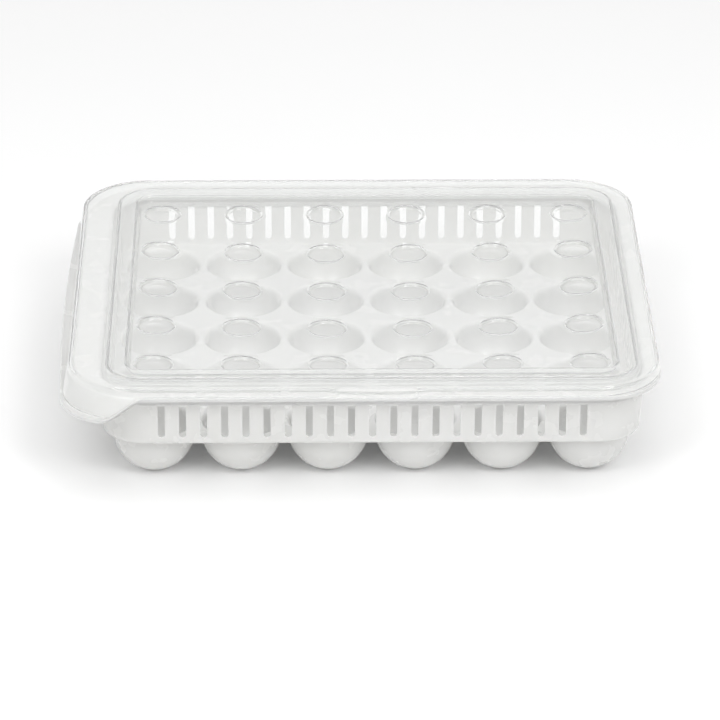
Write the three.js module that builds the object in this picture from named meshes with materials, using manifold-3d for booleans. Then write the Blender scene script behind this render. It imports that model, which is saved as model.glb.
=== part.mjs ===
// A covered egg storage box: a white moulded tray of hanging egg cups, and a clear lid that
// lifts straight off. Millimetres, +Z up, +X to the right, the front faces -Y.
// The origin is under the middle of the box's footprint, on the plane the cups stand on.
import * as THREE from 'three';
import { mergeVertices } from 'three/addons/utils/BufferGeometryUtils.js';
import { ParametricGeometry } from 'three/addons/geometries/ParametricGeometry.js';
import Module from 'manifold-3d';

const wasm = await Module();
wasm.setup();

// The grid of egg cups.
const COLUMNS = 6;
const ROWS = 5;
const COLUMN_PITCH = 50;
const ROW_PITCH = 52;
const CUP_RADIUS = 23.5;
const CUP_WALL = 1.5;
const CUP_FOOT_RADIUS = 5;
const CUP_SIDES = 10;
const CUP_ARC_STEPS = 3;

// Heights of the tray above the plane it stands on.
const DECK_BOTTOM = 28.5;
const DECK_TOP = 30.5;
const FLANGE_BOTTOM = 61.3;
const FLANGE_TOP = 63.3;
const COLLAR_BOTTOM = 54.3;

// Every ring of the box is a section carried round one rounded rectangle. A section point's
// first number is how far it lies outside the core rectangle.
const CORE_X = 130;
const CORE_Y = 111;
const WALL_FOOT_OUT = 23.6;
const WALL_HEAD_OUT = 25.6;
const WALL_THICK = 2;
const COLLAR_OUT = 26.9;
const COLLAR_THICK = 0.8;
const FLANGE_OUTER_OUT = 36;
const RIM_THICK = 2;
const RIM_CORNER = 38.5;

// The left end reaches out and droops to make a grip.
const GRIP_REACH = 9;
const GRIP_BOW = 3;
const GRIP_FLARE = 3;
const GRIP_DROP = 12.1;
const DROOP_START_X = -130;
const DROOP_LENGTH = 19.5;

// Ventilation slots in the walls.
const SLOT_PITCH = 12;
const SLOT_WIDTH = 4;
const SLOT_BOTTOM = 33;
const SLOT_TOP = 55.5;
const LONG_WALL_SLOTS = 21;
const SHORT_WALL_SLOTS = 17;

// The lid.
const LID_GAP = 0.3;
const LID_TOP = 70;
const LID_WALL = 1.5;
const LID_OUTER_OUT = 35;
const LID_STEP = 0.4;
const LID_STEP_OUT = 21;
const RECESS_OUT = 10;
const RECESS_DRAFT = 1.4;
const RECESS_FLOOR = 65.3;
const RECESS_FOOT = 1.8;
const PLUG_BOTTOM = 62.3;
const PANEL_SAG = 4;
const DIMPLE_RADIUS = 11;
const DIMPLE_DEPTH = 1.6;
const DIMPLE_ROOT = 0.7;
const DIMPLE_CUT = 4;
const DIMPLE_SIDES = 8;
const TAB_WIDTH = 46;
const TAB_CENTRE_X = 2;
const TAB_REACH = 2;
const TAB_THICK = 2;

// The stops of a ring: round each corner, along a short side, and along a long side, where
// they crowd towards the grip. Each is a fraction of its side or corner.
const CORNER_STEPS = 6;
const SHORT_STEPS = 8;
const LONG_STOPS = [0, 0.3, 0.6, 0.84, 0.88, 0.92, 0.96, 1];

const TRAY_WHITE = new THREE.MeshStandardMaterial({ color: 0xf1f2f2, roughness: 0.42, metalness: 0 });
const LID_CLEAR = new THREE.MeshStandardMaterial({
  color: 0xf4f6f6, roughness: 0.08, metalness: 0, transparent: true, opacity: 0.3,
});

const box = new THREE.Group();
box.position.x = (GRIP_REACH + GRIP_FLARE + GRIP_BOW) / 2;

const columnX = (column) => (column - (COLUMNS - 1) / 2) * COLUMN_PITCH;
const rowY = (row) => ((ROWS - 1) / 2 - row) * ROW_PITCH;

// The stations of a ring, anticlockwise from the front right corner's end: which corner of the
// rectangle each one hangs from (sx, sy), how far along its side it lies, and its direction.
function makeStations() {
  const stations = [];
  const shortStops = Array.from({ length: SHORT_STEPS + 1 }, (_, i) => i / SHORT_STEPS);
  const sides = [
    { turn: 0, stops: shortStops, at: (t) => [1, 2 * t - 1] },
    { turn: 90, stops: LONG_STOPS, at: (t) => [1 - 2 * t, 1] },
    { turn: 180, stops: shortStops, at: (t) => [-1, 1 - 2 * t] },
    { turn: 270, stops: LONG_STOPS.map((t) => 1 - t).reverse(), at: (t) => [2 * t - 1, -1] },
  ];
  for (const { turn, stops, at } of sides) {
    for (const t of stops) {
      const [sx, sy] = at(t);
      stations.push({ sx, sy, angle: THREE.MathUtils.degToRad(turn) });
    }
    const [sx, sy] = at(1);
    for (let i = 1; i < CORNER_STEPS; i += 1) {
      stations.push({ sx, sy, angle: THREE.MathUtils.degToRad(turn + (90 * i) / CORNER_STEPS) });
    }
  }
  return stations;
}

const STATIONS = makeStations();

// A point of a rounded rectangle that lies `out` outside the core, with corners of radius
// `round`. The left end is stretched by `reach`, and its middle bulges by `bow`.
function outline({ sx, sy, angle }, out, round, reach, bow) {
  const halfX = CORE_X + out - round;
  const halfY = CORE_Y + out - round;
  const nx = Math.cos(angle);
  const ny = Math.sin(angle);
  const stretch = reach * (1 - sx) / 2;
  const bulge = bow * Math.max(-nx, 0) * (1 - sy * sy);
  return { x: halfX * sx + nx * round - stretch - bulge, y: halfY * sy + ny * round };
}

// How far the rim droops into the grip: 0 round most of the box, 1 all along the left end.
function droopAt(place) {
  const { x } = outline(place, LID_OUTER_OUT, RIM_CORNER, GRIP_REACH, 0);
  return THREE.MathUtils.smoothstep((DROOP_START_X - x) / DROOP_LENGTH, 0, 1);
}

// A closed ring whose section is worked out at each station from the droop there.
function ring(sectionAt) {
  const rows = sectionAt(0).length;
  const count = STATIONS.length;
  const put = (u, v, target) => {
    const place = STATIONS[Math.round(u * count) % count];
    const point = sectionAt(droopAt(place))[Math.round(v * rows) % rows];
    const { out, z, round = out, reach = 0, bow = 0 } = point;
    const { x, y } = outline(place, out, round, reach, bow);
    target.set(x, y, z);
  };
  return new ParametricGeometry(put, count, rows);
}

function solid(geometry) {
  geometry.deleteAttribute('normal');
  geometry.deleteAttribute('uv');
  const merged = mergeVertices(geometry, 1e-4);
  return new wasm.Manifold(new wasm.Mesh({
    numProp: 3,
    vertProperties: new Float32Array(merged.attributes.position.array),
    triVerts: new Uint32Array(merged.index.array),
  }));
}

function addMesh(name, piece, material) {
  const { vertProperties, triVerts } = piece.getMesh();
  const geometry = new THREE.BufferGeometry();
  geometry.setAttribute('position', new THREE.BufferAttribute(vertProperties, 3));
  geometry.setIndex(new THREE.BufferAttribute(triVerts, 1));
  geometry.computeVertexNormals();
  const mesh = new THREE.Mesh(geometry, material.clone());
  mesh.name = name;
  box.add(mesh);
}

function roundedPlate(out, bottom, top) {
  const shape = new THREE.Shape();
  for (const [x, y, start] of [[1, 1, 0], [-1, 1, 90], [-1, -1, 180], [1, -1, 270]]) {
    const from = THREE.MathUtils.degToRad(start);
    shape.absarc(x * CORE_X, y * CORE_Y, out, from, from + Math.PI / 2, false);
  }
  const geometry = new THREE.ExtrudeGeometry(shape, {
    depth: top - bottom, bevelEnabled: false, curveSegments: CORNER_STEPS,
  });
  return solid(geometry.translate(0, 0, bottom));
}

function eachCup(visit) {
  for (let row = 0; row < ROWS; row += 1) {
    for (let column = 0; column < COLUMNS; column += 1) {
      visit(columnX(column), rowY(row), `r${row + 1}_c${column + 1}`);
    }
  }
}

// One side of a cup's wall: up a hemisphere from the flat foot, then straight to the deck.
function cupCurve(radius, centreZ) {
  const points = [];
  const start = Math.asin(CUP_FOOT_RADIUS / radius);
  for (let i = 0; i <= CUP_ARC_STEPS; i += 1) {
    const angle = start + (Math.PI / 2 - start) * (i / CUP_ARC_STEPS);
    points.push([radius * Math.sin(angle), centreZ - radius * Math.cos(angle)]);
  }
  points.push([radius, DECK_BOTTOM]);
  return points;
}

function eggCup() {
  const centreZ = Math.sqrt(CUP_RADIUS ** 2 - CUP_FOOT_RADIUS ** 2);
  const outside = cupCurve(CUP_RADIUS, centreZ);
  const inside = cupCurve(CUP_RADIUS - CUP_WALL, centreZ).reverse();
  const section = [[0, 0], ...outside, ...inside, [0, inside.at(-1)[1]]];
  const profile = section.map(([r, z]) => new THREE.Vector2(r, z));
  return solid(new THREE.LatheGeometry(profile, CUP_SIDES).rotateX(Math.PI / 2));
}

function trayDeck() {
  let deck = roundedPlate(WALL_FOOT_OUT, DECK_BOTTOM, DECK_TOP);
  const radius = CUP_RADIUS - CUP_WALL;
  const height = 2 * (DECK_TOP - DECK_BOTTOM);
  const hole = solid(new THREE.CylinderGeometry(radius, radius, height, CUP_SIDES, 1).rotateX(Math.PI / 2));
  eachCup((x, y) => {
    deck = deck.subtract(hole.translate(x, y, (DECK_TOP + DECK_BOTTOM) / 2));
  });
  return deck;
}

// A slot has a round lower end and a square top, and runs through a wall along Y.
function slotCutter() {
  const half = SLOT_WIDTH / 2;
  const shape = new THREE.Shape();
  shape.moveTo(half, SLOT_TOP);
  shape.lineTo(-half, SLOT_TOP);
  shape.absarc(0, SLOT_BOTTOM + half, half, Math.PI, 2 * Math.PI, false);
  shape.closePath();
  const depth = 8 * WALL_THICK;
  const cutter = new THREE.ExtrudeGeometry(shape, { depth, bevelEnabled: false, curveSegments: 2 });
  return solid(cutter.translate(0, 0, -depth / 2).rotateX(Math.PI / 2));
}

function trayWall() {
  let wall = solid(ring(() => [
    { out: WALL_FOOT_OUT, z: DECK_TOP },
    { out: WALL_HEAD_OUT, z: FLANGE_BOTTOM },
    { out: WALL_HEAD_OUT - WALL_THICK, z: FLANGE_BOTTOM },
    { out: WALL_FOOT_OUT - WALL_THICK, z: DECK_TOP },
  ]));
  const longCutter = slotCutter();
  const shortCutter = longCutter.rotate([0, 0, 90]);
  const middleOut = (WALL_FOOT_OUT + WALL_HEAD_OUT - WALL_THICK) / 2;
  const offsets = (count) => Array.from({ length: count }, (_, i) => (i - (count - 1) / 2) * SLOT_PITCH);
  for (const side of [-1, 1]) {
    for (const x of offsets(LONG_WALL_SLOTS)) {
      wall = wall.subtract(longCutter.translate(x, side * (CORE_Y + middleOut), 0));
    }
    for (const y of offsets(SHORT_WALL_SLOTS)) {
      wall = wall.subtract(shortCutter.translate(side * (CORE_X + middleOut), y, 0));
    }
  }
  return wall;
}

// The flange lies on top of the wall, with a collar that hangs outside it. At the left end
// the flange drops inside the lid's deep skirt and turns out again below it.
function trayRim() {
  const inside = LID_OUTER_OUT - LID_WALL - 2 * LID_GAP;
  const round = RIM_CORNER;
  const reach = GRIP_REACH;
  return solid(ring((droop) => {
    const shelf = FLANGE_TOP - GRIP_DROP * droop;
    const flare = GRIP_FLARE * droop;
    const edge = { out: FLANGE_OUTER_OUT + flare, round, reach, bow: GRIP_BOW * droop };
    return [
      { out: WALL_HEAD_OUT - WALL_THICK, z: FLANGE_TOP },
      { out: WALL_HEAD_OUT - WALL_THICK, z: FLANGE_BOTTOM },
      { out: COLLAR_OUT - COLLAR_THICK, z: FLANGE_BOTTOM },
      { out: COLLAR_OUT - COLLAR_THICK, z: COLLAR_BOTTOM },
      { out: COLLAR_OUT, z: COLLAR_BOTTOM },
      { out: COLLAR_OUT, z: FLANGE_BOTTOM },
      { out: inside - RIM_THICK, z: FLANGE_BOTTOM, round, reach },
      { out: inside - RIM_THICK / 2 + flare, z: shelf - RIM_THICK, round, reach },
      { ...edge, z: shelf - RIM_THICK },
      { ...edge, z: shelf },
      { out: inside + 0.5 + flare, z: shelf, round, reach },
      { out: inside, z: FLANGE_TOP, round, reach },
    ];
  }));
}

// The lid's border: its skirt outside, the wall of the recess inside, and a rib underneath
// that drops inside the tray's wall.
function lidRim() {
  const round = RIM_CORNER;
  const reach = GRIP_REACH;
  const border = LID_TOP - LID_STEP;
  return solid(ring((droop) => {
    const skirt = FLANGE_TOP + LID_GAP - GRIP_DROP * droop;
    const slope = GRIP_FLARE * droop;
    return [
      { out: LID_OUTER_OUT + slope, z: skirt, round, reach },
      { out: LID_OUTER_OUT - 1, z: LID_TOP - 2, round, reach },
      { out: LID_OUTER_OUT - 2.4, z: border, round, reach },
      { out: LID_STEP_OUT + LID_STEP, z: border },
      { out: LID_STEP_OUT - LID_STEP, z: LID_TOP },
      { out: RECESS_OUT, z: LID_TOP },
      { out: RECESS_OUT - RECESS_DRAFT, z: RECESS_FLOOR },
      { out: RECESS_OUT - RECESS_DRAFT + RECESS_FOOT, z: RECESS_FLOOR },
      { out: RECESS_OUT + LID_WALL, z: LID_TOP - LID_WALL },
      { out: LID_STEP_OUT - 1, z: LID_TOP - LID_WALL },
      { out: LID_STEP_OUT - 0.8, z: PLUG_BOTTOM },
      { out: LID_STEP_OUT + 0.7, z: PLUG_BOTTOM },
      { out: LID_STEP_OUT + 0.9, z: border - LID_WALL },
      { out: LID_OUTER_OUT - 3, z: border - LID_WALL, round, reach },
      { out: LID_OUTER_OUT - 1 - LID_WALL, z: LID_TOP - 2.8, round, reach },
      { out: LID_OUTER_OUT - LID_WALL + slope, z: skirt, round, reach },
    ];
  }));
}

// The panel sags a little towards its middle, and a shallow round dimple over each cup holds
// the foot of a cup of the box that is stacked on top.
function panelDrop(x, y) {
  const edge = RECESS_OUT - RECESS_DRAFT;
  const across = Math.max(1 - (x / (CORE_X + edge)) ** 2, 0);
  const along = Math.max(1 - (y / (CORE_Y + edge)) ** 2, 0);
  return PANEL_SAG * across * along;
}

function lidPanel() {
  const out = RECESS_OUT - RECESS_DRAFT + RECESS_FOOT;
  const sheet = new THREE.BoxGeometry(2 * (CORE_X + out), 2 * (CORE_Y + out), LID_WALL, 8, 6, 1);
  const points = sheet.attributes.position;
  for (let i = 0; i < points.count; i += 1) {
    points.setZ(i, points.getZ(i) - panelDrop(points.getX(i), points.getY(i)));
  }
  sheet.translate(0, 0, RECESS_FLOOR - LID_WALL / 2);
  let panel = solid(sheet).intersect(roundedPlate(out, DECK_TOP, LID_TOP));
  const plug = (radius, depth) => solid(
    new THREE.CylinderGeometry(radius + 1, radius, depth, DIMPLE_SIDES, 1).rotateX(Math.PI / 2),
  );
  const under = plug(DIMPLE_RADIUS, DIMPLE_DEPTH + LID_WALL - DIMPLE_ROOT);
  const over = plug(DIMPLE_RADIUS - 1, DIMPLE_CUT);
  eachCup((x, y) => {
    const floor = RECESS_FLOOR - panelDrop(x, y) - DIMPLE_DEPTH;
    panel = panel.add(under.translate(x, y, floor + (DIMPLE_DEPTH - LID_WALL - DIMPLE_ROOT) / 2));
    panel = panel.subtract(over.translate(x, y, floor + DIMPLE_CUT / 2));
  });
  return panel;
}

// A small ledge on the front of the skirt, to lift the lid by.
function lidTab() {
  const back = -(CORE_Y + LID_OUTER_OUT + LID_GAP);
  const front = back - TAB_REACH;
  const half = TAB_WIDTH / 2;
  const corner = 4;
  const shape = new THREE.Shape();
  shape.moveTo(half, back);
  shape.lineTo(-half, back);
  shape.quadraticCurveTo(-half, back - TAB_REACH / 2, -half + corner, back - TAB_REACH / 2);
  shape.quadraticCurveTo(0, front - TAB_REACH / 2, half - corner, back - TAB_REACH / 2);
  shape.quadraticCurveTo(half, back - TAB_REACH / 2, half, back);
  const ledge = new THREE.ExtrudeGeometry(shape, {
    depth: TAB_THICK, bevelEnabled: false, curveSegments: 6,
  });
  return solid(ledge.translate(TAB_CENTRE_X, 0, FLANGE_TOP + LID_GAP));
}

const cup = eggCup();
addMesh('tray_deck', trayDeck(), TRAY_WHITE);
addMesh('tray_wall', trayWall(), TRAY_WHITE);
addMesh('tray_rim', trayRim(), TRAY_WHITE);
eachCup((x, y, place) => addMesh(`egg_cup_${place}`, cup.translate(x, y, 0), TRAY_WHITE));
addMesh('lid_panel', lidPanel(), LID_CLEAR);
addMesh('lid_rim', lidRim(), LID_CLEAR);
addMesh('lid_lift_tab', lidTab(), LID_CLEAR);

export default box;
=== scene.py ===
"""A covered egg storage box for Blender: a white moulded tray of hanging egg cups under a
clear lid. Lengths are in millimetres until a mesh is made, which is in metres."""
import math

import bmesh
import bpy
from mathutils import Matrix, Vector


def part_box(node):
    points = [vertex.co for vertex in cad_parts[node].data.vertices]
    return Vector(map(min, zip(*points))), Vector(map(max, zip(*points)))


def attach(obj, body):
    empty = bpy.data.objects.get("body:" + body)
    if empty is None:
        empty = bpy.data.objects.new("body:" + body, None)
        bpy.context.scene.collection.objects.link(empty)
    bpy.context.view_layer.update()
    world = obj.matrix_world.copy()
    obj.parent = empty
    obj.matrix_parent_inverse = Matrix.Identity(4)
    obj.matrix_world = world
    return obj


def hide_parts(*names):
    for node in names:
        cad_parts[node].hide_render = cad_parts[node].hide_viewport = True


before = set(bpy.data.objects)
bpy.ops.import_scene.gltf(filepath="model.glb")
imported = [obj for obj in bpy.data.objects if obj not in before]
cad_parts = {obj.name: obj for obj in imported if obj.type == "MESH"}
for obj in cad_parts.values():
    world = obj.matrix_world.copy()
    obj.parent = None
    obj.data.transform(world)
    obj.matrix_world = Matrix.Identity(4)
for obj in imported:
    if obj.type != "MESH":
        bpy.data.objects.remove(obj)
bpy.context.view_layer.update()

MM = 0.001


def box_mm(node):
    """A CAD node's lowest and highest corners, in millimetres."""
    low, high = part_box(node)
    return Vector(low) / MM, Vector(high) / MM


# ---------------------------------------------------------------- sizes taken from the frame

COLUMNS = 6
ROWS = 5

cup_low, cup_high = box_mm("egg_cup_r1_c1")
far_low, far_high = box_mm(f"egg_cup_r{ROWS}_c{COLUMNS}")
CUP_X0 = (cup_low.x + cup_high.x) / 2
CUP_Y0 = (far_low.y + far_high.y) / 2
COLUMN_PITCH = ((far_low.x + far_high.x) / 2 - CUP_X0) / (COLUMNS - 1)
ROW_PITCH = ((cup_low.y + cup_high.y) / 2 - CUP_Y0) / (ROWS - 1)
MIDDLE_X = CUP_X0 + COLUMN_PITCH * (COLUMNS - 1) / 2

# The lines between the cells of the grid.
CELL_XS = [(i + 1 - COLUMNS / 2) * COLUMN_PITCH for i in range(COLUMNS - 1)]
CELL_YS = [(i + 1 - ROWS / 2) * ROW_PITCH for i in range(ROWS - 1)]

DECK_BOTTOM = cup_high.z
FLANGE_TOP = box_mm("tray_rim")[1].z
LID_TOP = box_mm("lid_rim")[1].z
WALL_HEAD_OUT = 25.6
wall_low, wall_high = box_mm("tray_wall")
CORE_X = (wall_high.x - wall_low.x) / 2 - WALL_HEAD_OUT
CORE_Y = (wall_high.y - wall_low.y) / 2 - WALL_HEAD_OUT

# ------------------------------------------------------------------------- sizes of the tray

TRAY_THICK = 1.4
DECK_TOP = DECK_BOTTOM + TRAY_THICK
CUP_RADIUS = 23.5
CUP_FOOT_RADIUS = 5
CUP_LIP = 2.7
CUP_LIP_DEPTH = 4
WALL_FOOT_OUT = 23.6
WALL_FILLET = 2.2
FLANGE_OUT = 34.9
FLANGE_CORNER_OUT = 1.3
FLANGE_GRIP_OUT = 1.1
FLANGE_LIP = 2
COLLAR_BOTTOM = 54.3
COLLAR_OUT = 26.9
COLLAR_THICK = 0.9
COLLAR_STEP = 0.45
COLLAR_STEP_HEIGHT = 2.8

SLOT_PITCH = 12
SLOT_HALF = 2
SLOT_BOTTOM = 33
SLOT_TOP = 55.5
LONG_WALL_SLOTS = 21
SHORT_WALL_SLOTS = 17
SLOT_EDGE = 0.25

# The left end reaches out and droops to make a grip.
RIM_CORNER = 38.5
GRIP_REACH = 9
GRIP_BOW = 3
GRIP_FLARE = 3
GRIP_DROP = 12.1
DROOP_START = -130
DROOP_LENGTH = 19.5

# -------------------------------------------------------------------------- sizes of the lid

LID_THICK = 1.2
LID_GAP = 0.3
LID_OUTER_OUT = 35
LID_STEP = 0.4
LID_STEP_OUT = 21
RECESS_OUT = 10
RECESS_DRAFT = 1.4
RECESS_FLOOR = 65.3
PANEL_OUT = 7
PANEL_SAG = 4
PLUG_BOTTOM = 62.3
DIMPLE_RADIUS = 10.6
DIMPLE_DEPTH = 1.7
TAB_CENTRE = 2
TAB_HALF = 23
TAB_SIDE = 0.5
TAB_END_REACH = 1.6
TAB_MIDDLE_REACH = 2.5
TAB_SHOULDER = 68.2
TAB_SHOULDER_SHARE = 0.85
SKIRT_INSET = 0.9

CORNER_STEPS = 20
CELL_SIDE_STEPS = 12


# ------------------------------------------------------------------ outlines, rings and cells

def smooth(t):
    t = min(max(t, 0), 1)
    return t * t * (3 - 2 * t)


def side_stops(half, slots, extra=()):
    """Places along a straight side of the core rectangle, as fractions from -1 to 1."""
    stops = {-half, half, *extra}
    for i in range(slots):
        middle = (i - (slots - 1) / 2) * SLOT_PITCH
        for step in (-6, -4, -2, -math.sqrt(2), 0, math.sqrt(2), 2, 4, 6):
            stops.add(round(middle + step, 4))
    ordered = sorted(stops)
    return [s / half for s in ordered]


def make_stations(long_stops, short_stops):
    """Stations anticlockwise round the core rectangle: (side to side, front to back, angle)."""
    sides = [
        (0, [(1, t) for t in short_stops]),
        (90, [(-t, 1) for t in long_stops]),
        (180, [(-1, -t) for t in short_stops]),
        (270, [(t, -1) for t in long_stops]),
    ]
    stations = []
    for turn, places in sides:
        stations += [(sx, sy, math.radians(turn)) for sx, sy in places]
        sx, sy = places[-1]
        for i in range(1, CORNER_STEPS):
            stations.append((sx, sy, math.radians(turn + 90 * i / CORNER_STEPS)))
    return stations


def outline(station, out, corner, reach, bow):
    """A point `out` outside the core, on corners of that radius. The left end is stretched by
    reach, and its middle bulges by bow."""
    sx, sy, angle = station
    nx, ny = math.cos(angle), math.sin(angle)
    stretch = reach * (1 - sx) / 2
    bulge = bow * max(-nx, 0) * (1 - sy * sy)
    x = (CORE_X + out - corner) * sx + nx * corner - stretch - bulge
    y = (CORE_Y + out - corner) * sy + ny * corner
    return Vector((x, y))


def droop_at(station):
    x = outline(station, LID_OUTER_OUT, RIM_CORNER, GRIP_REACH, 0).x
    return smooth((DROOP_START - x) / DROOP_LENGTH)


def at(out, z, soft=0.0, corner=None, reach=0.0, bow=0.0):
    """A corner of a section: its place, how far back from it the rounding starts, and how the
    left end stretches there."""
    return (Vector((out, z)), soft, (out if corner is None else corner, reach, bow))


def soften(section, steps=4):
    """Rounds a section's corners with short curves. Returns (out, z, corner, reach, bow)."""
    flat = [((*place, *rest), soft) for place, soft, rest in section]
    rows = []
    for i, (here, soft) in enumerate(flat):
        if soft == 0 or i in (0, len(flat) - 1):
            rows.append(here)
            continue
        ends = []
        for other in (flat[i - 1][0], flat[i + 1][0]):
            gap = math.hypot(other[0] - here[0], other[1] - here[1])
            share = min(soft / gap, 0.5) if gap else 0
            ends.append([a + (b - a) * share for a, b in zip(here, other)])
        for k in range(steps + 1):
            t = k / steps
            weights = ((1 - t) ** 2, 2 * t * (1 - t), t * t)
            rows.append(tuple(
                weights[0] * a + weights[1] * b + weights[2] * c
                for a, b, c in zip(ends[0], here, ends[1])))
    return rows


def sweep(bm, stations, section_at, closed=False):
    """Carries a section round the stations. Returns the vertices, one list per section row."""
    columns = []
    for station in stations:
        column = []
        for out, z, corner, reach, bow in soften(section_at(station)):
            place = outline(station, out, corner, reach, bow)
            column.append(bm.verts.new((place.x, place.y, z)))
        columns.append(column)
    count = len(columns[0])
    for a, b in zip(columns, columns[1:] + columns[:1]):
        for i in range(count if closed else count - 1):
            j = (i + 1) % count
            bm.faces.new((a[i], a[j], b[j], b[i]))
    return [[column[i] for column in columns] for i in range(count)]


def cell_outline(loop, column, row, level):
    """The corners of one cell of the grid, anticlockwise. Inside the grid its sides are
    straight, and at the edge they follow the loop."""
    def along_loop(start, end):
        first = min(range(len(loop)), key=lambda i: (loop[i] - start).length)
        last = min(range(len(loop)), key=lambda i: (loop[i] - end).length)
        count = (last - first) % len(loop)
        return [loop[(first + i) % len(loop)] for i in range(count)]

    has_left, has_right = column > 0, column < COLUMNS - 1
    has_near, has_far = row > 0, row < ROWS - 1
    x0 = CELL_XS[column - 1] if has_left else -CORE_X - level
    x1 = CELL_XS[column] if has_right else CORE_X + level
    y0 = CELL_YS[row - 1] if has_near else -CORE_Y - level
    y1 = CELL_YS[row] if has_far else CORE_Y + level
    sides = [
        (has_near, Vector((x0, y0)), Vector((x1, y0))),
        (has_right, Vector((x1, y0)), Vector((x1, y1))),
        (has_far, Vector((x1, y1)), Vector((x0, y1))),
        (has_left, Vector((x0, y1)), Vector((x0, y0))),
    ]
    inner = [k for k in range(4) if sides[k][0]]
    points = []
    for k, following in zip(inner, inner[1:] + inner[:1]):
        _, start, end = sides[k]
        for i in range(CELL_SIDE_STEPS):
            points.append(start.lerp(end, i / CELL_SIDE_STEPS))
        if following != (k + 1) % 4 or not sides[(k + 1) % 4][0]:
            points += along_loop(end, sides[following][1])
    return points


def cell_patch(bm, centre, border, hollow, height_at, rings):
    """A round hollow in the middle of a cell, and the surface from its lip to the border.
    hollow lists (radius, depth) from the lip inwards and ends on the axis."""
    directions = [(point - centre).normalized() for point in border]
    lip = [centre + direction * hollow[0][0] for direction in directions]
    rows = []
    for i in range(rings + 1):
        t = i / rings
        places = [edge.lerp(inner, t) for edge, inner in zip(border, lip)]
        rows.append([bm.verts.new((p.x, p.y, height_at(p.x, p.y))) for p in places])
    for radius, depth in hollow[1:-1]:
        places = [centre + direction * radius for direction in directions]
        rows.append([bm.verts.new((p.x, p.y, height_at(p.x, p.y) - depth)) for p in places])
    count = len(border)
    for a, b in zip(rows, rows[1:]):
        for i in range(count):
            j = (i + 1) % count
            bm.faces.new((a[i], a[j], b[j], b[i]))
    tip = bm.verts.new((centre.x, centre.y, height_at(centre.x, centre.y) - hollow[-1][1]))
    for i in range(count):
        bm.faces.new((rows[-1][i], rows[-1][(i + 1) % count], tip))


def grid_of_cells(bm, loop, level, hollow, height_at, rings):
    """One cell for each cup, together filling the loop."""
    for row in range(ROWS):
        for column in range(COLUMNS):
            centre = Vector((
                (column - (COLUMNS - 1) / 2) * COLUMN_PITCH,
                (row - (ROWS - 1) / 2) * ROW_PITCH))
            border = cell_outline(loop, column, row, level)
            cell_patch(bm, centre, border, hollow, height_at, rings)


def finish_mesh(name, bm, body, material, thickness=0.0, bevel=0.0):
    """Turns a bmesh in millimetres into a piece of the object, in metres."""
    bmesh.ops.remove_doubles(bm, verts=bm.verts, dist=0.002)
    bmesh.ops.transform(bm, matrix=Matrix.Translation((MIDDLE_X, 0, 0)), verts=bm.verts)
    bmesh.ops.scale(bm, vec=(MM, MM, MM), verts=bm.verts)
    mesh = bpy.data.meshes.new(name)
    bm.to_mesh(mesh)
    bm.free()
    piece = bpy.data.objects.new(name, mesh)
    bpy.context.scene.collection.objects.link(piece)
    if thickness:
        shell = piece.modifiers.new("wall thickness", "SOLIDIFY")
        shell.thickness = thickness * MM
        shell.offset = -1
        shell.use_even_offset = True
    if bevel:
        edge = piece.modifiers.new("moulded edges", "BEVEL")
        edge.width = bevel * MM
        edge.segments = 2
        edge.limit_method = "ANGLE"
        edge.angle_limit = math.radians(60)
    graph = bpy.context.evaluated_depsgraph_get()
    solid = bpy.data.meshes.new_from_object(piece.evaluated_get(graph))
    piece.modifiers.clear()
    piece.data = solid
    solid.shade_smooth()
    solid.set_sharp_from_angle(angle=math.radians(38))
    solid.materials.clear()
    solid.materials.append(material)
    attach(piece, body)
    return piece


# --------------------------------------------------------------------------------- materials

def new_material(name):
    material = bpy.data.materials.new(name)
    material.use_nodes = True
    tree = material.node_tree
    shader = tree.nodes["Principled BSDF"]
    return material, tree, shader


def noise(tree, scale, detail=2.0):
    """A noise texture in the object's own metres."""
    coordinates = tree.nodes.new("ShaderNodeTexCoord")
    texture = tree.nodes.new("ShaderNodeTexNoise")
    texture.inputs["Scale"].default_value = scale
    texture.inputs["Detail"].default_value = detail
    tree.links.new(coordinates.outputs["Object"], texture.inputs["Vector"])
    return texture.outputs["Fac"]


def spread(tree, value, low, high):
    """Maps a noise value onto a range."""
    node = tree.nodes.new("ShaderNodeMapRange")
    node.inputs["From Min"].default_value = 0.3
    node.inputs["From Max"].default_value = 0.7
    node.inputs["To Min"].default_value = low
    node.inputs["To Max"].default_value = high
    tree.links.new(value, node.inputs["Value"])
    return node.outputs["Result"]


def tint(tree, value, dark, light):
    """Mixes two colours by a noise value."""
    node = tree.nodes.new("ShaderNodeMix")
    node.data_type = "RGBA"
    node.inputs["A"].default_value = (*dark, 1)
    node.inputs["B"].default_value = (*light, 1)
    tree.links.new(value, node.inputs["Factor"])
    return node.outputs["Result"]


def bumps(tree, shader, layers):
    """Stacks bump layers of (height value, strength, depth in metres) onto a shader."""
    normal = None
    for value, strength, depth in layers:
        node = tree.nodes.new("ShaderNodeBump")
        node.inputs["Strength"].default_value = strength
        node.inputs["Distance"].default_value = depth
        tree.links.new(value, node.inputs["Height"])
        if normal is not None:
            tree.links.new(normal, node.inputs["Normal"])
        normal = node.outputs["Normal"]
    tree.links.new(normal, shader.inputs["Normal"])


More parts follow.
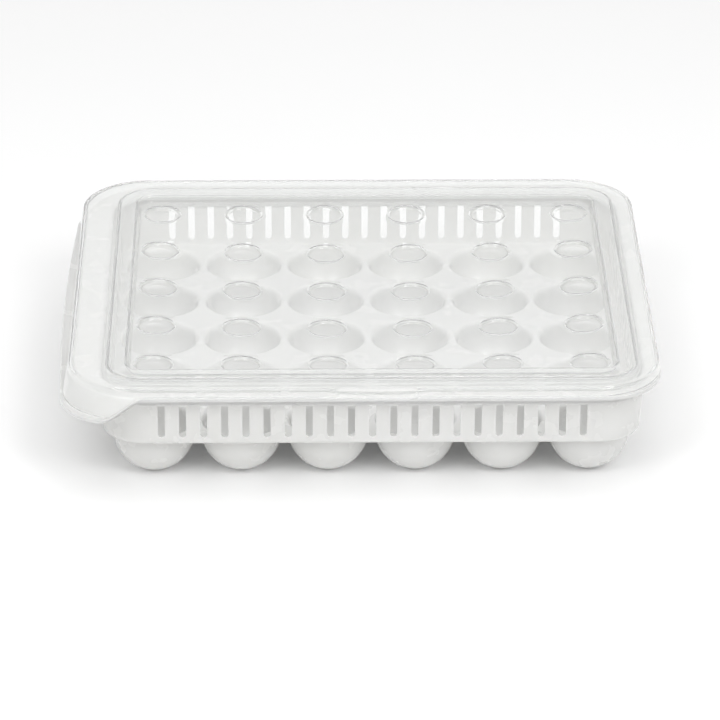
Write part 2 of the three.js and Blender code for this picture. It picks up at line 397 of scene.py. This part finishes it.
def tray_plastic():
    """White polypropylene: soft gloss, faint cloudiness and the ripple of a moulded skin."""
    material, tree, shader = new_material("tray_white_plastic")
    cloud = spread(tree, noise(tree, 18), 0, 1)
    colour = tint(tree, cloud, (0.70, 0.70, 0.685), (0.73, 0.73, 0.72))
    tree.links.new(colour, shader.inputs["Base Color"])
    tree.links.new(spread(tree, noise(tree, 60, 3), 0.22, 0.30), shader.inputs["Roughness"])
    shader.inputs["IOR"].default_value = 1.49
    shader.inputs["Subsurface Weight"].default_value = 0.6
    shader.inputs["Subsurface Radius"].default_value = (1, 1, 0.95)
    shader.inputs["Subsurface Scale"].default_value = 0.004
    bumps(tree, shader, [(noise(tree, 45), 0.25, 0.0004), (noise(tree, 2600), 0.08, 0.00004)])
    return material


def lid_plastic():
    """Clear polystyrene. Light that only passes through goes straight, so that the tray is
    lit through the lid as it is through a thin clear sheet."""
    material, tree, shader = new_material("lid_clear_plastic")
    shader.inputs["Base Color"].default_value = (0.97, 0.975, 0.97, 1)
    shader.inputs["Transmission Weight"].default_value = 0.85
    shader.inputs["IOR"].default_value = 1.5
    tree.links.new(spread(tree, noise(tree, 35, 3), 0.02, 0.035), shader.inputs["Roughness"])
    bumps(tree, shader, [(noise(tree, 22), 0.02, 0.00005)])
    clear = tree.nodes.new("ShaderNodeBsdfTransparent")
    clear.inputs["Color"].default_value = (0.99, 0.99, 0.99, 1)
    path = tree.nodes.new("ShaderNodeLightPath")
    either = tree.nodes.new("ShaderNodeMath")
    either.operation = "MAXIMUM"
    tree.links.new(path.outputs["Is Shadow Ray"], either.inputs[0])
    tree.links.new(path.outputs["Is Diffuse Ray"], either.inputs[1])
    mix = tree.nodes.new("ShaderNodeMixShader")
    tree.links.new(either.outputs[0], mix.inputs["Fac"])
    tree.links.new(shader.outputs["BSDF"], mix.inputs[1])
    tree.links.new(clear.outputs["BSDF"], mix.inputs[2])
    tree.links.new(mix.outputs["Shader"], tree.nodes["Material Output"].inputs["Surface"])
    return material


# ---------------------------------------------------------------------------------- the tray

def cup_hollow():
    """The inside of a cup as (radius, depth below the deck), from the lip to the axis."""
    inner = CUP_RADIUS - TRAY_THICK
    centre = math.sqrt(CUP_RADIUS ** 2 - CUP_FOOT_RADIUS ** 2)
    floor = TRAY_THICK
    points = []
    for i in range(7):
        angle = math.radians(90 * i / 6)
        points.append((
            inner + CUP_LIP * (1 - math.sin(angle)), CUP_LIP_DEPTH * (1 - math.cos(angle))))
    foot = math.acos((centre - floor) / inner)
    for i in range(12):
        angle = math.pi / 2 + (foot - math.pi / 2) * i / 11
        points.append((inner * math.sin(angle), DECK_TOP - centre + inner * math.cos(angle)))
    points.append((inner * math.sin(foot) * 0.5, DECK_TOP - floor))
    points.append((0, DECK_TOP - floor))
    return points


def inner_wall_out(z):
    """How far out the inside of the drafted wall is at a height."""
    share = (z - DECK_BOTTOM) / (FLANGE_TOP - DECK_BOTTOM)
    return WALL_FOOT_OUT + (WALL_HEAD_OUT - WALL_FOOT_OUT) * share - TRAY_THICK


WALL_ROWS = (SLOT_BOTTOM - 0.8, SLOT_BOTTOM + SLOT_HALF, (SLOT_BOTTOM + SLOT_TOP) / 2, SLOT_TOP)


def tray_section(station):
    """The inside of the wall from the deck up, then the top of the flange to its lip."""
    droop = droop_at(station)
    shelf = FLANGE_TOP - GRIP_DROP * droop
    flare = GRIP_FLARE * droop
    corner = abs(math.sin(2 * station[2]))
    brim = FLANGE_OUT + FLANGE_CORNER_OUT * corner + FLANGE_GRIP_OUT * droop + flare
    turn = LID_OUTER_OUT - LID_THICK - 2 * LID_GAP - 0.6
    far = dict(corner=RIM_CORNER, reach=GRIP_REACH)
    edge = dict(far, bow=GRIP_BOW * droop)
    return [
        at(inner_wall_out(DECK_TOP) - WALL_FILLET, DECK_TOP),
        at(inner_wall_out(DECK_TOP), DECK_TOP, soft=WALL_FILLET),
        *[at(inner_wall_out(z), z) for z in WALL_ROWS],
        at(inner_wall_out(FLANGE_TOP), FLANGE_TOP, soft=1.8),
        at(turn, FLANGE_TOP, soft=1.2, **far),
        at(turn + 0.6 + flare, shelf, soft=0.6, **far),
        at(brim, shelf, soft=0.4, **edge),
        at(brim + 0.05, shelf - FLANGE_LIP, **edge),
    ]


def cut_slots(bm, stations, rows):
    """Opens the slots in the swept wall: a square top and a round lower end."""
    spring, middle, top = (
        next(row for row in rows if abs(row[0].co.z - z) < 1e-4) for z in WALL_ROWS[1:])
    opened = set()
    for i, (sx, sy, angle) in enumerate(stations):
        quarter = angle / (math.pi / 2)
        if abs(quarter - round(quarter)) > 1e-6:
            continue
        on_short_side = round(quarter) % 2 == 0
        place = sy * CORE_Y if on_short_side else sx * CORE_X
        slots = SHORT_WALL_SLOTS if on_short_side else LONG_WALL_SLOTS
        centre = round(place / SLOT_PITCH) * SLOT_PITCH
        offset = place - centre
        if abs(centre) > (slots - 1) / 2 * SLOT_PITCH or abs(offset) > SLOT_HALF - 1e-3:
            continue
        z = SLOT_BOTTOM + SLOT_HALF - math.sqrt(SLOT_HALF ** 2 - offset ** 2)
        out = inner_wall_out(z)
        spring[i].co = (*outline(stations[i], out, out, 0, 0), z)
        opened.update((spring[i], middle[i], top[i]))
    wall = {*spring, *middle, *top}
    doomed = [
        face for face in bm.faces
        if all(v in wall for v in face.verts) and any(v in opened for v in face.verts)]
    bmesh.ops.delete(bm, geom=doomed, context="FACES")


def tray_moulding(material):
    """The tray as one moulded sheet: everything but its collar."""
    stations = make_stations(
        side_stops(CORE_X, LONG_WALL_SLOTS, CELL_XS),
        side_stops(CORE_Y, SHORT_WALL_SLOTS, CELL_YS))
    bm = bmesh.new()
    rows = sweep(bm, stations, tray_section)
    loop = [Vector(v.co.xy) for v in rows[0]]
    cut_slots(bm, stations, rows)
    level = inner_wall_out(DECK_TOP) - WALL_FILLET
    grid_of_cells(bm, loop, level, cup_hollow(), lambda x, y: DECK_TOP, 2)
    bmesh.ops.remove_doubles(bm, verts=bm.verts, dist=0.002)
    bmesh.ops.recalc_face_normals(bm, faces=bm.faces)
    if sum(f.normal.z * f.calc_area() for f in bm.faces) < 0:
        bmesh.ops.reverse_faces(bm, faces=bm.faces)
    tray = finish_mesh("tray_moulding", bm, "tray", material, TRAY_THICK, SLOT_EDGE)
    cups = [f"egg_cup_r{r + 1}_c{c + 1}" for r in range(ROWS) for c in range(COLUMNS)]
    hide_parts("tray_deck", "tray_wall", "tray_rim", *cups)
    return tray


def collar_section(station):
    inner = COLLAR_OUT - COLLAR_THICK
    step = COLLAR_BOTTOM + COLLAR_STEP_HEIGHT
    root = FLANGE_TOP - TRAY_THICK / 2
    return [
        at(COLLAR_OUT, root),
        at(COLLAR_OUT, step + COLLAR_STEP, soft=0.15),
        at(COLLAR_OUT - COLLAR_STEP, step, soft=0.15),
        at(COLLAR_OUT - COLLAR_STEP, COLLAR_BOTTOM, soft=0.2),
        at(inner - COLLAR_STEP, COLLAR_BOTTOM, soft=0.2),
        at(inner, root),
    ]


def tray_collar(material):
    """The collar that hangs from the flange outside the wall and stiffens it."""
    half_stops = [i / 10 - 1 for i in range(21)]
    bm = bmesh.new()
    sweep(bm, make_stations(half_stops, half_stops), collar_section, closed=True)
    bmesh.ops.recalc_face_normals(bm, faces=bm.faces)
    collar = finish_mesh("tray_collar", bm, "tray", material)
    return collar


# ----------------------------------------------------------------------------------- the lid

def panel_height(x, y):
    """The top of the sunken panel, which sags a little towards its middle."""
    across = max(1 - (x / (CORE_X + PANEL_OUT)) ** 2, 0)
    along = max(1 - (y / (CORE_Y + PANEL_OUT)) ** 2, 0)
    return RECESS_FLOOR - PANEL_SAG * across * along


def panel_underside(x, y):
    return panel_height(x, y) - LID_THICK


def tab_at(station):
    """How far the lift tab stands out of the skirt at a station of the front side."""
    _, sy, angle = station
    if sy != -1 or math.sin(angle) > -0.999:
        return 0.0
    offset = outline(station, LID_OUTER_OUT, RIM_CORNER, GRIP_REACH, 0).x - TAB_CENTRE
    share = offset / TAB_HALF
    if abs(share) >= 1:
        return 0.0
    side = smooth((TAB_HALF - abs(offset)) / TAB_SIDE)
    return side * (TAB_END_REACH + (TAB_MIDDLE_REACH - TAB_END_REACH) * (1 - share * share))


def lid_section(station):
    """From the panel's edge up over the border, down the skirt, and back underneath."""
    droop = droop_at(station)
    tab = tab_at(station)
    skirt = FLANGE_TOP + LID_GAP - GRIP_DROP * droop
    slope = GRIP_FLARE * droop + tab
    border = LID_TOP - LID_STEP
    under = border - LID_THICK
    far = dict(corner=RIM_CORNER, reach=GRIP_REACH)
    foot = RECESS_OUT - RECESS_DRAFT
    inner_foot = foot + 1.25
    rib = LID_STEP_OUT
    shoulder = LID_OUTER_OUT - 0.7 + 0.25 * droop + TAB_SHOULDER_SHARE * tab
    return [
        at(PANEL_OUT, RECESS_FLOOR),
        at(foot, RECESS_FLOOR, soft=1.2),
        at(RECESS_OUT, LID_TOP, soft=0.8),
        at(rib - LID_STEP, LID_TOP, soft=0.35),
        at(rib + LID_STEP, border, soft=0.35),
        at(LID_OUTER_OUT - SKIRT_INSET, border, soft=1.8, **far),
        at(shoulder, TAB_SHOULDER, soft=0.25, **far),
        at(LID_OUTER_OUT + slope, skirt, soft=0.4, **far),
        at(LID_OUTER_OUT + slope - LID_THICK, skirt, soft=0.4, **far),
        at(LID_OUTER_OUT - SKIRT_INSET - LID_THICK, under, soft=1.4, **far),
        at(rib + 0.7, under, soft=0.4),
        at(rib + 0.5, PLUG_BOTTOM, soft=0.35),
        at(rib - 0.5, PLUG_BOTTOM, soft=0.35),
        at(rib - 0.7, LID_TOP - LID_THICK, soft=0.4),
        at(RECESS_OUT + 1.2, LID_TOP - LID_THICK, soft=0.7),
        at(inner_foot, RECESS_FLOOR - LID_THICK, soft=1.2),
        at(PANEL_OUT, RECESS_FLOOR - LID_THICK),
    ]


def dimple_hollow(spread_out):
    """A shallow round dimple as (radius, depth), from its lip to its middle."""
    lip = DIMPLE_RADIUS + spread_out
    points = []
    for i in range(9):
        t = i / 8
        points.append((lip + 1.1 - 2.4 * t, DIMPLE_DEPTH * smooth(t)))
    points += [(lip * 0.6, DIMPLE_DEPTH * 1.04), (lip * 0.3, DIMPLE_DEPTH * 1.06)]
    points.append((0, DIMPLE_DEPTH * 1.06))
    return points


def lid_moulding(material):
    """The lid: its border and skirt swept round, and the sunken panel with its dimples."""
    tab_stops = []
    for side in (-1, 1):
        for k in range(-1, 6):
            edge = TAB_CENTRE + side * (TAB_HALF - k * TAB_SIDE / 4)
            tab_stops.append((edge + GRIP_REACH / 2) / (1 + GRIP_REACH / 2 / CORE_X))
    evenly_x = [-CORE_X + i * CORE_X / 26 for i in range(53)]
    evenly_y = [-CORE_Y + i * CORE_Y / 22 for i in range(45)]
    long_stops = sorted({round(s, 4) for s in (*evenly_x, *CELL_XS, *tab_stops)})
    short_stops = sorted({round(s, 4) for s in (*evenly_y, *CELL_YS)})
    stations = make_stations([s / CORE_X for s in long_stops], [s / CORE_Y for s in short_stops])
    bm = bmesh.new()
    rows = sweep(bm, stations, lid_section)
    loop = [Vector(v.co.xy) for v in rows[0]]
    grid_of_cells(bm, loop, PANEL_OUT, dimple_hollow(0), panel_height, 6)
    grid_of_cells(bm, loop, PANEL_OUT, dimple_hollow(0.3), panel_underside, 6)
    bmesh.ops.remove_doubles(bm, verts=bm.verts, dist=0.002)
    bmesh.ops.recalc_face_normals(bm, faces=bm.faces)
    lid = finish_mesh("lid_moulding", bm, "lid", material)
    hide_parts("lid_panel", "lid_rim", "lid_lift_tab")
    return lid


# --------------------------------------------------------------------- floor, light and view

def studio_floor():
    mesh = bpy.data.meshes.new("studio_floor")
    half = 12
    mesh.from_pydata([(-half, -half, 0), (half, -half, 0), (half, half, 0), (-half, half, 0)],
                     [], [(0, 1, 2, 3)])
    floor = bpy.data.objects.new("studio_floor", mesh)
    bpy.context.scene.collection.objects.link(floor)
    material, tree, shader = new_material("studio_floor_paper")
    colour = tint(tree, noise(tree, 3), (0.93, 0.93, 0.93), (0.95, 0.95, 0.95))
    tree.links.new(colour, shader.inputs["Base Color"])
    shader.inputs["Roughness"].default_value = 0.9
    shader.inputs["Emission Color"].default_value = (1, 1, 1, 1)
    shader.inputs["Emission Strength"].default_value = 0.07
    mesh.materials.append(material)


def area_light(name, place, target, size, power):
    data = bpy.data.lights.new(name, "AREA")
    data.shape = "RECTANGLE"
    data.size, data.size_y = size
    data.energy = power
    light = bpy.data.objects.new(name, data)
    light.location = place
    direction = Vector(target) - Vector(place)
    light.rotation_euler = direction.to_track_quat("-Z", "Y").to_euler()
    bpy.context.scene.collection.objects.link(light)


def studio_light():
    world = bpy.data.worlds.new("studio")
    bpy.context.scene.world = world
    world.use_nodes = True
    tree = world.node_tree
    background = tree.nodes["Background"]
    coordinates = tree.nodes.new("ShaderNodeTexCoord")
    parts = tree.nodes.new("ShaderNodeSeparateXYZ")
    depth = tree.nodes.new("ShaderNodeMapRange")
    depth.inputs["From Min"].default_value = -1
    ramp = tree.nodes.new("ShaderNodeValToRGB")
    ramp.color_ramp.elements[0].color = (0.30, 0.30, 0.30, 1)
    ramp.color_ramp.elements[1].color = (1, 1, 1, 1)
    ramp.color_ramp.elements.new(0.55).color = (0.42, 0.42, 0.42, 1)
    tree.links.new(coordinates.outputs["Generated"], parts.inputs[0])
    tree.links.new(parts.outputs["Y"], depth.inputs["Value"])
    tree.links.new(depth.outputs["Result"], ramp.inputs["Fac"])
    tree.links.new(ramp.outputs["Color"], background.inputs["Color"])
    background.inputs["Strength"].default_value = 1.0
    area_light("overhead_softbox", (0, -0.3, 2.4), (0, 0, 0), (2.4, 1.8), 18)
    for side, name, power in ((-1, "left_softbox", 17), (1, "right_softbox", 22)):
        azimuth, elevation, distance = math.radians(35 * side), math.radians(42), 2.8
        place = (distance * math.sin(azimuth) * math.cos(elevation),
                 -distance * math.cos(azimuth) * math.cos(elevation),
                 distance * math.sin(elevation))
        area_light(name, place, (0, 0, 0), (0.9, 1.2), power)
    area_light("front_fill", (0, -2.6, 1.5), (0, 0, 0), (1.6, 0.9), 2)


def photo_camera():
    """A long lens looking down on the front, a little from the left."""
    elevation, yaw, roll = math.radians(26.24), math.radians(1.03), math.radians(0.22)
    distance = 2.560
    target = Vector((MIDDLE_X * MM - 0.0049, 0, 0.0154))
    back = Vector((-math.sin(yaw) * math.cos(elevation), -math.cos(yaw) * math.cos(elevation),
                   math.sin(elevation)))
    data = bpy.data.cameras.new("photo_camera")
    data.sensor_width = 36
    data.lens = 213.6
    data.clip_start = 0.05
    data.clip_end = 60
    camera = bpy.data.objects.new("photo_camera", data)
    look = (-back).to_track_quat("-Z", "Y").to_matrix().to_4x4()
    place = Matrix.Translation(target + back * distance)
    camera.matrix_world = place @ look @ Matrix.Rotation(roll, 4, "Z")
    bpy.context.scene.collection.objects.link(camera)
    bpy.context.scene.camera = camera


bpy.context.scene.view_settings.view_transform = "Standard"
photo_camera()
studio_floor()
studio_light()
white = tray_plastic()
tray_moulding(white)
tray_collar(white)
lid_moulding(lid_plastic())
